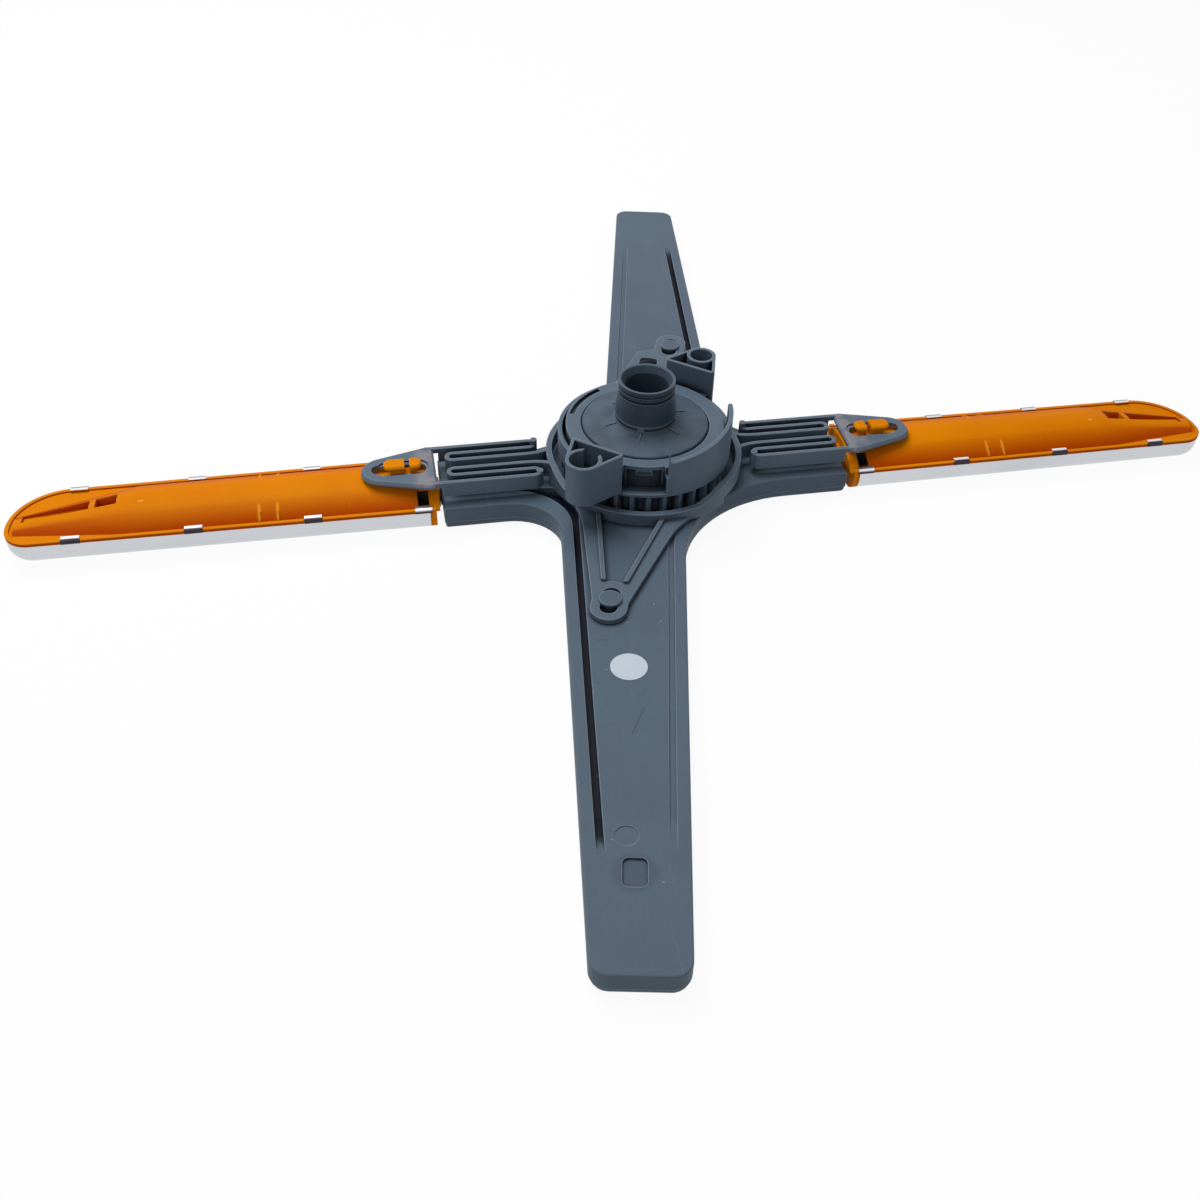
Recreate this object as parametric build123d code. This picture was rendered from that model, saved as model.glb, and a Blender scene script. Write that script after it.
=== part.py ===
from build123d import *
import os
from math import acos, atan, cos, degrees, pi, radians, sin, tan

# Dishwasher spray arm with two rocking side arms, lying on its spray face with the inlet neck upward.
# Millimetres. Origin: the turning axis at the level of the spray face. +X runs along the right side arm,
# +Y towards the rear main arm, +Z up out of the inlet neck.

# Running and sliding clearances
run_gap = 0.05
slide_gap = 0.3
seat_gap = 0.1

# Main arms, two tapered blades set skew to the side arms
arm_skew = 11.4
arm_reach = 242.3
straight_edge_root = 17.3
straight_edge_tip = 14.3
tapered_edge_root = 35.7
tapered_edge_tip = 15.3
arm_tip_radius = 6.0
stub_reach = 84.0
stub_half_width = 17.0
tight_fillet = 19.0
wide_fillet = 54.0

# Housing shells
seam_height = 4.0
deck_height = 11.0
deck_thickness = 4.6
shell_wall = 2.0
spray_face_thickness = 1.8
spray_edge_radius = 3.4
seam_step = 0.3
deck_edge_radius = 0.6
locating_rib = 1.2
locating_rib_height = 2.0

# Groove that borders the deck, deep beside the tapered edges and faint elsewhere
groove_inset = 4.6
groove_width = 2.6
groove_depth = 3.8
groove_corner_radius = 9.0
stub_groove_width = 1.4
stub_groove_depth = 1.8
stub_groove_span = 22.0
faint_groove_width = 2.2
faint_groove_depth = 0.5
groove_end = 200.0
groove_fade = 16.0
deck_stub_half_width = 8.5
deck_stub_inset = 5.0

# Moulding marks in the front arm's deck
ejector_along = 193.3
ejector_lateral = -5.2
ejector_radius = 3.8
ejector_depth = 0.25
gate_along = 206.9
gate_lateral = -2.5
gate_length = 10.5
gate_width = 7.6
gate_depth = 0.8
gate_corner_radius = 2.0

# Nozzles in the spray face
nozzle_count = 5
nozzle_first = 70.0
nozzle_pitch = 38.0
nozzle_lateral = -3.0
nozzle_dish_radius = 6.0
nozzle_dish_depth = 0.7
nozzle_slot_length = 8.0
nozzle_slot_width = 2.4
nozzle_lean = 25.0

# Inlet neck and its disc
inlet_hole_radius = 16.0
drum_radius = 20.0
drum_wall = 2.4
spigot_depth = 2.6
disc_radius = 25.7
disc_top = 33.7
disc_thickness = 2.0
disc_edge_radius = 0.9
disc_crown = 1.9
collar_radius = 12.3
collar_height = 3.2
collar_slit_height = 1.3
collar_slit_depth = 0.9
collar_slits = 4
collar_slit_turn = -110.0
collar_bridge = 2.8
cone_top_radius = 11.3
cone_middle_radius = 12.05
cone_height = 9.7
neck_top = 53.6
neck_lip_radius = 11.4
neck_lip_height = 1.9
neck_groove_radius = 10.5
neck_groove_height = 1.1
neck_ring_height = 1.5
throat_radius = 8.8
throat_flare = 1.6
throat_flare_depth = 2.8
gusset_length = 5.0
gusset_size = 0.6
gussets = 6
gusset_turn = 10.0

# Gear train between the fixed gear and the eccentric gear
gear_module = 2.0
fixed_teeth = 32
eccentric_teeth = 19
pressure_angle = 20.0
tooth_backlash = 0.5
addendum_share = 0.9
dedendum_share = 1.25
flank_steps = 4
gear_floor_gap = 0.4

# Fixed gear: toothed ring, skirt, top plate, windows and sockets
gear_rim_thickness = 2.4
inner_wall_radius = 31.0
skirt_radius = 35.4
skirt_thickness = 1.7
skirt_bottom = 21.4
skirt_floor = 1.3
skirt_top = 30.4
plate_top = 33.0
plate_radius = 32.2
plate_thickness = 1.8
disc_side_gap = 0.5
window_from = -117.0
window_to = -87.0
window_top = 31.4
window_side = 2.0
window_depth = 2.4
window_tab_span = 12.0
window_tab_drop = 2.4
crest_from = -86.0
crest_to = -4.0
crest_low = 37.0
crest_high = 40.6
plate_slot_width = 2.0
plate_slot_angles = (118.0, 160.0)
skirt_slot_angles = ((146.0, 206.0), (98.0, 126.0), (-70.0, -24.0))
socket_x = 31.0
socket_y = 33.9
front_socket_radius = 7.0
rear_socket_radius = 6.1
socket_wall = 1.3
socket_top = 41.7
socket_bottom = 24.5
socket_mouth = 70.0
socket_pocket_wall = 1.2
socket_corner_radius = 0.3
socket_inner_corner = (32.2, 21.1)
socket_outer_corner = (17.2, 32.9)

# Eccentric gear
eccentricity = 3.8
eccentric_thickness = 2.5
eccentric_pin_radius = 2.5
eccentric_pin_top = 16.9
eccentric_bore_radius = 4.2
eccentric_bore_depth = 1.7

# Link that slides on two guide pins and rocks the side arms
slide_angle = 19.3
link_thickness = 1.6
link_top = 20.6
ring_wall = 2.4
ring_front_top = 16.5
ring_dip_start = 19.0
ring_dip_end = 28.5
front_guide_radius = 88.2
rear_guide_radius = 90.3
guide_collar_radius = 5.6
guide_neck_radius = 3.1
guide_head_radius = 4.25
guide_head_height = 0.9
guide_boss_wall = 3.6
leg_thickness = 2.0
leg_root_half = 26.0
leg_shoulder = 42.2
leg_shoulder_half = 18.4
leg_flare_radius = 40.0
leg_inner_root = 12.4
leg_inner_tip = 3.3
leg_tip_gap = 3.0
leg_rib_height = 1.2
leg_rib_width = 1.8
rear_plate_half = 26.0
rear_plate_end_half = 14.0
rear_window_length = 9.0
rear_window_width = 8.0
spring_wall = 1.7
spring_strands = (12.0, 7.4, 2.9)
spring_ring_gap = 4.2
spring_end_gap = 6.5
spring_root = 5.0
spring_flare = 9.0
spring_splay = 0.6
knob_radius = 1.4
far_knob_rise = 1.9
near_knob_rise = 0.3
end_plate_thickness = 1.8
end_plate_overlap = 1.0
end_plate_length = 28.0
end_plate_corner_y = 11.6
end_plate_corner_radius = 2.4
end_plate_tip_radius = 8.5
end_plate_chamfer = 1.0
dish_depth = 0.7
dish_room = 1.6
dish_corner_radius = 4.0

# Side arms: orange duct and nozzle tray in a folded steel cover
hinge_height = 7.2
side_half_width = 18.0
side_tip_half_width = 16.8
side_gap = 3.0
side_length = 163.0
near_tip_radius = 10.0
far_tip_radius = 22.6
tip_flat = 1.0
cover_bottom = 0.6
cover_thickness = 0.5
cover_round = 7.0
rim_bottom = 10.6
rim_top = 11.4
bead_width = 1.6
bead_height = 0.6
duct_top = 17.3
duct_edge_inset = 0.8
duct_wall = 1.5
hood_reach = 1.5
nose_length = 45.0
nose_tip_gap = 3.0
nose_near = -11.5
nose_far = 2.5
nose_rise = 1.6
flange_thickness = 2.5
root_slot_length = 4.5
root_slot_inner = 8.4
root_slot_outer = 16.4
tray_wall = 1.4
tab_stations = (5.0, 47.8, 92.9)
tab_tip_gap = 25.0
tab_length = 6.6
tab_lip = 2.0
tab_notch_gap = 0.4
side_nozzle_stations = (25.0, 59.0, 93.0, 127.0)
side_nozzle_radius = 4.2
side_nozzle_slot_width = 2.0
side_nozzle_slot_length = 6.0
side_nozzle_lean = 30.0
stiffener_station = 64.5
stiffener_pitch = 7.0
stiffener_thickness = 0.9
stiffener_height = 1.2
stiffener_length = 4.6
stiffener_inset = 3.6
pocket_spans = ((0.15, 0.33), (0.38, 0.93))
pocket_near = (-1.3, -4.8)
pocket_far = (6.0, -0.5)
pocket_floor = 0.3

# Hollow connector on which a side arm rocks
journal_radius = 4.0
journal_wall = 1.0
journal_tail = 16.0
journal_nose = 7.5
journal_flange_radius = 5.4
journal_flange_thickness = 0.4
journal_lip = 0.5
barrel_radius = 5.1
barrel_length = 24.0
hinge_collar_radius = 6.1

# Peg on a side arm that the link's end plate pushes
peg_station = 11.5
peg_neck_length = 10.0
peg_neck_half = 2.4
peg_head_length = 15.0
peg_head_half = 3.2
peg_head_height = 1.6
peg_head_corner = 2.6
peg_head_chamfer = 0.7
peg_slit = 2.0
peg_slit_offset = -1.8
peg_tilt_room = 1.8
peg_hole_room = 0.75
peg_hole_outer_room = 3.0

# Values that follow from the ones above
skew_sin = sin(radians(arm_skew))
skew_cos = cos(radians(arm_skew))
slide_sin = sin(radians(slide_angle))
slide_cos = cos(radians(slide_angle))
travel = eccentricity
fixed_pitch_radius = gear_module * fixed_teeth / 2
eccentric_pitch_radius = gear_module * eccentric_teeth / 2
gear_distance = fixed_pitch_radius + eccentric_pitch_radius
gear_bottom = deck_height + slide_gap
gear_top = gear_bottom + eccentric_thickness
link_bottom = gear_top + slide_gap
link_plate_top = link_bottom + link_thickness
leg_bottom = deck_height + slide_gap
leg_top = leg_bottom + leg_thickness
guides = (
    (-1, front_guide_radius, leg_bottom, leg_top),
    (1, rear_guide_radius, link_bottom, link_plate_top),
)
tooth_tip_radius = fixed_pitch_radius + addendum_share * gear_module
tooth_root_radius = fixed_pitch_radius - dedendum_share * gear_module
ring_radius = tooth_tip_radius + travel + slide_gap
slot_half_width = guide_neck_radius + slide_gap / 2
slot_half_length = travel + guide_neck_radius + slide_gap
guide_boss_radius = slot_half_width + guide_boss_wall
yoke_half_along = travel + eccentricity + eccentric_pin_radius + slide_gap
yoke_half_across = eccentricity + eccentric_pin_radius + slide_gap
hole_half_width = peg_neck_half + peg_hole_room
sway = travel * slide_sin
side_root = stub_reach + side_gap
hood_start = side_root - hood_reach
bead_top = rim_top + bead_height
dish_floor = link_top - dish_depth
side_tip = side_root + side_length
tab_spots = [side_root + x for x in tab_stations] + [side_tip - tab_tip_gap]
nose_end = side_tip - nose_tip_gap
nose_start = nose_end - nose_length
peg_x = side_root + peg_station
end_plate_corner_x = side_root + end_plate_overlap
end_plate_tip_x = side_root + end_plate_length
spring_inner_x = ring_radius + ring_wall + spring_ring_gap
spring_outer_x = side_root - spring_end_gap


def arm_point(along, lateral):
    """Plan point of the front main arm from its distance along the arm and its offset to the right."""
    x = -along * skew_sin + lateral * skew_cos
    y = -along * skew_cos - lateral * skew_sin
    return (x, y)


def slide_point(along, across, end=-1):
    """Plan point on the slide line: end -1 is the front guide's side and +1 the rear guide's side."""
    return (end * (along * slide_sin - across * slide_cos), end * (along * slide_cos + across * slide_sin))


def edge_offset(root, tip, along):
    """Offset of a main arm's straight edge line at a distance along the arm."""
    return root + (tip - root) * along / arm_reach


def plan_face(points):
    """Flat face in plan from its corner points."""
    return make_face(Polyline(*points, close=True))


def turned(shape):
    """The same shape half a turn round the hub."""
    return Rot(0, 0, 180) * shape


def raised(face, bottom, top):
    """Solid between two heights on a plan face."""
    return extrude(Pos(0, 0, bottom) * face, top - bottom)


def lying_cylinder(radius, start, end):
    """Cylinder along +X on the side arm's hinge axis."""
    disc = Plane.YZ.offset(start) * Pos(0, hinge_height) * Circle(radius)
    return extrude(disc, end - start)


def main_arm_plan(inset):
    """Plan of the front main arm, drawn in from its edges by an inset."""
    tip = arm_reach - inset
    straight_tip = edge_offset(straight_edge_root, straight_edge_tip, tip) - inset
    tapered_tip = edge_offset(tapered_edge_root, tapered_edge_tip, tip) - inset
    corners = [
        arm_point(0, straight_edge_root - inset),
        arm_point(tip, straight_tip),
        arm_point(tip, -tapered_tip),
        arm_point(0, inset - tapered_edge_root),
    ]
    face = plan_face(corners)
    tip_corners = face.vertices().sort_by_distance((0, 0, 0))[-2:]
    return fillet(tip_corners, max(arm_tip_radius - inset, 1.0))


def inner_corner(root, tip, side, half_width):
    """Where a main arm's edge line meets the near edge of a side stub."""
    slope = (tip - root) / arm_reach
    along = (half_width - side * root * skew_sin) / (skew_cos + side * slope * skew_sin)
    return arm_point(along, side * (root + slope * along))


def cross_plan(inset, stub=stub_reach, half_width=stub_half_width, tight_radius=tight_fillet):
    """Plan of the four-armed housing, drawn in from its edges by an inset."""
    front = main_arm_plan(inset)
    bar = Rectangle(2 * (stub - inset), 2 * (half_width - inset))
    plan = front + turned(front) + bar
    near = half_width - inset
    tight = inner_corner(tapered_edge_root - inset, tapered_edge_tip - inset, -1, near)
    wide = inner_corner(straight_edge_root - inset, straight_edge_tip - inset, 1, near)
    for corner, radius in ((tight, tight_radius + inset), (wide, wide_fillet + inset)):
        ends = [plan.vertices().sort_by_distance((k * corner[0], k * corner[1], 0))[0] for k in (1, -1)]
        plan = fillet(ends, radius)
    return plan


def deck_plan(inset, tight_radius=tight_fillet):
    """Plan of the deck inside its border groove: narrow on the side stubs, close to the edge on the arms."""
    stub = stub_reach - deck_stub_inset + inset
    return cross_plan(inset, stub, deck_stub_half_width + inset, tight_radius)


def border_groove(width, depth, tight_radius=tight_fillet):
    """Cutter for the groove round the deck, wider where the deck's own corners are tighter."""
    inside = groove_inset + width
    band = deck_plan(groove_inset) - deck_plan(inside, tight_radius)
    return raised(band, deck_height - depth, deck_height + depth)


def groove_limit(depth):
    """Space in which the front arm's groove keeps its depth, with a floor that runs out near the tip."""
    side = [
        (0, deck_height - depth),
        (groove_end - groove_fade, deck_height - depth),
        (groove_end, deck_height),
        (groove_end, deck_height + depth),
        (0, deck_height + depth),
    ]
    frame = Plane(origin=(0, 0, 0), x_dir=(-skew_sin, -skew_cos, 0), z_dir=(-skew_cos, skew_sin, 0))
    return extrude(frame * plan_face(side), stub_reach, both=True)


def deep_side(depth):
    """Space over the tapered side of the front arm and the inner end of the stub beside it."""
    corners = [
        arm_point(0, 0),
        arm_point(arm_reach, 0),
        arm_point(arm_reach, -tapered_edge_root),
        arm_point(0, -tapered_edge_root - tight_fillet),
    ]
    return raised(plan_face(corners), deck_height - depth, deck_height + depth)


def stub_sides(depth):
    """Space over the front halves of both side stubs."""
    plan = Pos(0, -stub_groove_span / 2) * Rectangle(2 * stub_reach, stub_groove_span)
    return raised(plan, deck_height - depth, deck_height + depth)


def moulding_marks():
    """Round ejector mark and shallow gate well in the front arm's deck."""
    ejector = Pos(*arm_point(ejector_along, ejector_lateral)) * Circle(ejector_radius)
    gate = RectangleRounded(gate_width, gate_length, gate_corner_radius)
    gate = Pos(*arm_point(gate_along, gate_lateral)) * Rot(0, 0, -arm_skew) * gate
    marks = raised(ejector, deck_height - ejector_depth, deck_height)
    return marks + raised(gate, deck_height - gate_depth, deck_height)


def build_lower_housing():
    """Deck and side walls in one moulding, with guide pins, the gear's stub axle and the stubs' barrels."""
    shell = raised(cross_plan(0), seam_height, deck_height)
    shell = fillet(shell.faces().sort_by(Axis.Z)[-1].edges(), deck_edge_radius)
    hollow = raised(cross_plan(shell_wall), seam_height, deck_height - deck_thickness)
    shell -= hollow
    deep = border_groove(groove_width, groove_depth, groove_corner_radius - groove_inset)
    deep = deep & groove_limit(groove_depth) & deep_side(groove_depth)
    stub = border_groove(stub_groove_width, stub_groove_depth) & stub_sides(stub_groove_depth)
    faint = border_groove(faint_groove_width, faint_groove_depth) & groove_limit(faint_groove_depth)
    grooves = deep + stub + faint
    shell -= grooves
    shell -= turned(grooves)
    shell -= moulding_marks()
    for end in (0, 180):
        barrel = lying_cylinder(barrel_radius, stub_reach - barrel_length, stub_reach)
        shell += Rot(0, 0, end) * barrel
    for end, radius, _, top in guides:
        head = top + slide_gap
        pin = raised(Circle(guide_neck_radius), deck_height, head)
        pin += raised(Circle(guide_head_radius), head, head + guide_head_height)
        shell += Pos(*slide_point(radius, 0, end), 0) * pin
    collar = raised(Circle(guide_collar_radius), deck_height, link_bottom - slide_gap)
    shell += Pos(*slide_point(rear_guide_radius, 0, 1), 0) * collar
    gear_x, gear_y = slide_point(gear_distance, 0, 1)
    axle_top = gear_bottom + eccentric_bore_depth - seat_gap
    shell += Pos(gear_x, gear_y, 0) * raised(Circle(eccentric_bore_radius - run_gap), deck_height, axle_top)
    shell -= raised(Circle(inlet_hole_radius), seam_height, deck_height)
    for end in (0, 180):
        bore = lying_cylinder(journal_radius, stub_reach - barrel_length - shell_wall, stub_reach)
        shell -= Rot(0, 0, end) * bore
    return shell


def main_nozzles(end):
    """Slots through the spray face along one main arm, each in a shallow dish."""
    cutters = Part()
    for index in range(nozzle_count):
        x, y = arm_point(nozzle_first + index * nozzle_pitch, nozzle_lateral)
        lean = arm_skew + nozzle_lean * (-1) ** index
        slot = Rot(0, 0, -lean) * SlotOverall(nozzle_slot_length, nozzle_slot_width)
        nozzle = raised(slot, 0, spray_face_thickness)
        dish_floor = (nozzle_dish_radius + nozzle_slot_length / 2) / 2
        dish_align = (Align.CENTER, Align.CENTER, Align.MIN)
        nozzle += Cone(nozzle_dish_radius, dish_floor, nozzle_dish_depth, align=dish_align)
        cutters += Pos(x, y, 0) * nozzle
    return Rot(0, 0, end) * cutters


def build_spray_housing():
    """Shallow tray that closes the lower housing and carries the nozzle slots."""
    shell = raised(cross_plan(seam_step), 0, seam_height)
    shell = fillet(shell.faces().sort_by(Axis.Z)[0].edges(), spray_edge_radius)
    wall = shell_wall + seam_step
    shell -= raised(cross_plan(wall + spray_edge_radius / 2), spray_face_thickness, seam_height)
    rib_outer = cross_plan(shell_wall + seat_gap)
    rib_inner = cross_plan(shell_wall + seat_gap + locating_rib)
    shell += raised(rib_outer - rib_inner, spray_edge_radius, seam_height + locating_rib_height)
    for end in (0, 180):
        barrel = lying_cylinder(barrel_radius + seat_gap, stub_reach - barrel_length - shell_wall, stub_reach)
        shell -= Rot(0, 0, end) * barrel
    for end in (0, 180):
        shell -= main_nozzles(end)
    return shell


def build_arm_holder():
    """Turned neck, disc and drum that carry the arm on the machine's inlet and trap the fixed gear."""
    collar_bottom = disc_top + disc_crown
    collar_top = collar_bottom + collar_height
    cone_top = collar_top + cone_height
    ring_bottom = cone_top + neck_groove_height
    ring_top = ring_bottom + neck_ring_height
    lip_bottom = neck_top - neck_lip_height
    disc_bottom = disc_top - disc_thickness
    profile = [
        (throat_radius, disc_bottom - drum_wall),
        (throat_radius, neck_top - throat_flare_depth),
        (throat_radius + throat_flare, neck_top),
        (neck_lip_radius, neck_top),
        (neck_lip_radius, lip_bottom),
        (neck_groove_radius, lip_bottom),
        (neck_groove_radius, ring_top),
        (neck_lip_radius, ring_top),
        (neck_lip_radius, ring_bottom),
        (neck_groove_radius, ring_bottom),
        (neck_groove_radius, cone_top),
        (cone_top_radius, cone_top),
        (cone_middle_radius, (cone_top + collar_top) / 2),
        (collar_radius, collar_top),
        (collar_radius, collar_bottom),
        (disc_radius, disc_top),
        (disc_radius, disc_bottom),
        (drum_radius, disc_bottom),
        (drum_radius, deck_height),
        (inlet_hole_radius, deck_height),
        (inlet_hole_radius, deck_height - spigot_depth),
        (inlet_hole_radius - drum_wall, deck_height - spigot_depth),
        (inlet_hole_radius - drum_wall, deck_height),
        (drum_radius - drum_wall, deck_height + drum_wall),
        (drum_radius - drum_wall, disc_bottom - drum_wall),
    ]
    holder = revolve(make_face(Plane.XZ * Polyline(*profile, close=True)), Axis.Z)
    round_edges = holder.edges().filter_by(GeomType.CIRCLE)
    disc_rim = round_edges.filter_by(lambda e: abs(e.radius - disc_radius) < 0.01).sort_by(Axis.Z)[-1]
    holder = fillet([disc_rim], disc_edge_radius)
    slit_z = collar_bottom + collar_height / 2
    slit_plan = Circle(collar_radius) - Circle(collar_radius - collar_slit_depth)
    slit_ring = raised(slit_plan, slit_z - collar_slit_height / 2, slit_z + collar_slit_height / 2)
    for index in range(collar_slits):
        turn = Rot(0, 0, 360 * index / collar_slits + collar_slit_turn)
        bridge = turn * Pos(collar_radius, 0, slit_z)
        slit_ring -= bridge * Box(4 * collar_slit_depth, collar_bridge, collar_height)
    holder -= slit_ring
    fall = disc_crown / (disc_radius - collar_radius)
    gusset_height = collar_bottom - fall * gusset_length / 2
    for index in range(gussets):
        turn = Rot(0, 0, 360 * index / gussets + gusset_turn)
        spot = Pos(collar_radius + gusset_length / 2, 0, gusset_height) * Rot(0, degrees(atan(fall)), 0)
        holder += turn * spot * Box(gusset_length, gusset_size, gusset_size)
    return holder


def gear_outline(teeth, backlash):
    """Involute spur gear outline with one tooth centred on +X."""
    pitch = gear_module * teeth / 2
    base = pitch * cos(radians(pressure_angle))
    tip = pitch + addendum_share * gear_module
    root = pitch - dedendum_share * gear_module
    start = max(base, root)
    flat = tan(radians(pressure_angle)) - radians(pressure_angle)
    half_tooth = pi / (2 * teeth) - backlash / (2 * pitch) + flat
    flank = [(root, half_tooth)] if root < base else []
    for step in range(flank_steps + 1):
        radius = start + (tip - start) * step / flank_steps
        roll = acos(base / radius)
        flank.append((radius, half_tooth - (tan(roll) - roll)))
    points = []
    for index in range(teeth):
        centre = 2 * pi * index / teeth
        points += [(r * cos(centre - a), r * sin(centre - a)) for r, a in flank]
        points += [(r * cos(centre + a), r * sin(centre + a)) for r, a in reversed(flank)]
    return plan_face(points)


def ring_sector(inner, outer, start, end):
    """Plan of a part of a ring between two angles in degrees."""
    mid = (start + end) / 2
    arcs = []
    for radius in (outer, inner):
        points = [(radius * cos(radians(a)), radius * sin(radians(a))) for a in (start, mid, end)]
        arcs.append(ThreePointArc(*points))
    sides = [Line(arcs[0] @ 0, arcs[1] @ 0), Line(arcs[0] @ 1, arcs[1] @ 1)]
    return make_face(arcs + sides)


def socket_plan(radius, grow=0.0):
    """Plan of one socket tower: a round tube and two corners on the skirt, hulled together."""
    corner_radius = socket_pocket_wall + socket_corner_radius + grow
    tube = Pos(socket_x, socket_y) * Circle(radius + grow)
    corners = [Pos(*spot) * Circle(corner_radius) for spot in (socket_inner_corner, socket_outer_corner)]
    return make_hull(tube.edges() + corners[0].edges() + corners[1].edges())


def build_socket(radius, open_mouth):
    """Socket tower for a stud of the machine's base, with hollow corners beside the tube."""
    tube = Pos(socket_x, socket_y) * Circle(radius)
    bore = Pos(socket_x, socket_y) * Circle(radius - socket_wall)
    pockets = socket_plan(radius, -socket_pocket_wall) - tube
    corner_angles = [degrees(atan(y / x)) for x, y in (socket_inner_corner, socket_outer_corner)]
    root = ring_sector(skirt_radius - skirt_thickness, skirt_radius + skirt_thickness, *corner_angles)
    tower = raised(socket_plan(radius), socket_bottom, socket_top)
    tower += raised(root, socket_bottom, skirt_top)
    tower -= raised(pockets, skirt_top, socket_top)
    tower -= raised(bore, socket_bottom + socket_wall, socket_top)
    if open_mouth:
        inner = radius - socket_wall
        mouth = Pos(-radius, 0) * Rectangle(2 * radius, radians(socket_mouth) * inner)
        place = Pos(socket_x, socket_y) * Rot(0, 0, degrees(atan(socket_y / socket_x)))
        opening = (place * mouth) & socket_plan(radius, -socket_pocket_wall)
        tower -= raised(opening, skirt_top, socket_top)
    return tower


def build_fixed_gear():
    """Toothed ring that the machine holds still by two sockets while the arm turns round it."""
    bottom = deck_height + gear_floor_gap
    floor = skirt_bottom + skirt_floor
    web_top = disc_top - disc_thickness - slide_gap
    web_bottom = web_top - plate_thickness
    bearing = drum_radius + run_gap
    rim_inner = tooth_root_radius - gear_rim_thickness
    inside = disc_radius + disc_side_gap
    skirt_inner = skirt_radius - skirt_thickness
    past = skirt_radius + skirt_thickness
    gear = raised(gear_outline(fixed_teeth, tooth_backlash), bottom, skirt_bottom)
    gear = Rot(0, 0, 90 - slide_angle) * gear
    gear += raised(Circle(skirt_radius), skirt_bottom, crest_high)
    gear -= raised(Circle(plate_radius), plate_top, crest_high)
    gear -= raised(Circle(skirt_inner) - Circle(plate_radius), skirt_top, crest_high)
    low_rim = ring_sector(plate_radius, past, crest_to, crest_from + 360)
    gear -= raised(low_rim, skirt_top, crest_high)
    slope_start = skirt_radius * cos(radians(crest_from))
    over = past + crest_high
    slope = [(slope_start, crest_low), (past, crest_high), (past, over), (slope_start, over)]
    gear -= extrude(make_face(Plane.XZ * Polyline(*slope, close=True)), past, both=True)
    gear -= raised(Circle(rim_inner), bottom, web_bottom)
    gear -= raised(Circle(bearing), web_bottom, plate_top)
    gear -= raised(Circle(inside), web_top, plate_top)
    chamber = Circle(skirt_inner) - Circle(inner_wall_radius)
    gear -= raised(chamber, floor, skirt_top - plate_thickness)
    gear -= raised(ring_sector(inner_wall_radius, past, window_from, window_to), floor, crest_high)
    window_middle = (window_from + window_to) / 2
    tab_from = window_middle - window_tab_span / 2
    tab_to = window_middle + window_tab_span / 2
    recess_floor = inner_wall_radius - window_depth
    for start, end, top in (
        (window_from + window_side, tab_from, window_top),
        (tab_from, tab_to, window_top - window_tab_drop),
        (tab_to, window_to - window_side, window_top),
    ):
        gear -= raised(ring_sector(recess_floor, past, start, end), floor, top)
    for angles in skirt_slot_angles:
        slot = ring_sector(plate_radius, skirt_inner, *angles)
        gear -= raised(slot, skirt_top - plate_thickness, skirt_top)
    slot_outer = plate_radius - plate_slot_width / 2
    slot = ring_sector(slot_outer - plate_slot_width, slot_outer, *plate_slot_angles)
    gear -= raised(slot, web_top, plate_top)
    towers = [build_socket(rear_socket_radius, False), turned(build_socket(front_socket_radius, True))]
    for tower in towers:
        gear += tower
    for radius, side in ((rear_socket_radius, 0), (front_socket_radius, 180)):
        bore = Pos(socket_x, socket_y) * Circle(radius - socket_wall)
        gear -= Rot(0, 0, side) * raised(bore, socket_bottom + socket_wall, socket_top)
    return gear


def build_eccentric_gear():
    """Gear that rolls on the fixed gear and carries the off-centre pin that drives the link."""
    half_tooth = 180 / eccentric_teeth
    gear = raised(gear_outline(eccentric_teeth, tooth_backlash), gear_bottom, gear_top)
    gear = Rot(0, 0, 270 - slide_angle + half_tooth) * gear
    pin = raised(Circle(eccentric_pin_radius), gear_top, eccentric_pin_top)
    gear += Pos(*slide_point(0, eccentricity, 1), 0) * pin
    gear -= raised(Circle(eccentric_bore_radius), gear_bottom, gear_bottom + eccentric_bore_depth)
    return Pos(*slide_point(gear_distance, 0, 1), 0) * gear


def guide_plan(end, radius, wall):
    """Plan of a guide slot, or of the boss round it at a wall's distance."""
    place = Pos(*slide_point(radius, 0, end), 0) * Rot(0, 0, 90 - slide_angle)
    return place * SlotOverall(2 * (slot_half_length + wall), 2 * (slot_half_width + wall))


def ring_along(across):
    """Distance along the slide line at which the link ring's inside lies at an offset across it."""
    return (ring_radius**2 - across**2) ** 0.5


def front_legs():
    """Two slim ribbed legs in a V from the ring, where they flare, to the front guide slot."""
    tip = front_guide_radius - slot_half_length
    rib_tip = tip - leg_tip_gap
    root = ring_along(leg_inner_root)
    legs = Part()
    for side in (-1, 1):
        shoulder = slide_point(leg_shoulder, side * leg_shoulder_half)
        outline = [
            slide_point(ring_along(leg_root_half), side * leg_root_half),
            shoulder,
            slide_point(front_guide_radius, side * guide_boss_radius),
            slide_point(tip, 0),
            slide_point(rib_tip, side * leg_inner_tip),
            slide_point(root, side * leg_inner_root),
        ]
        face = plan_face(outline)
        flare = face.vertices().sort_by_distance((*shoulder, 0))[0]
        legs += raised(fillet([flare], leg_flare_radius), leg_bottom, leg_top)
        rib = [
            slide_point(root, side * leg_inner_root),
            slide_point(rib_tip, side * leg_inner_tip),
            slide_point(rib_tip, side * (leg_inner_tip + leg_rib_width)),
            slide_point(root, side * (leg_inner_root + leg_rib_width)),
        ]
        legs += raised(plan_face(rib), leg_bottom, leg_top + leg_rib_height)
    return legs


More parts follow.
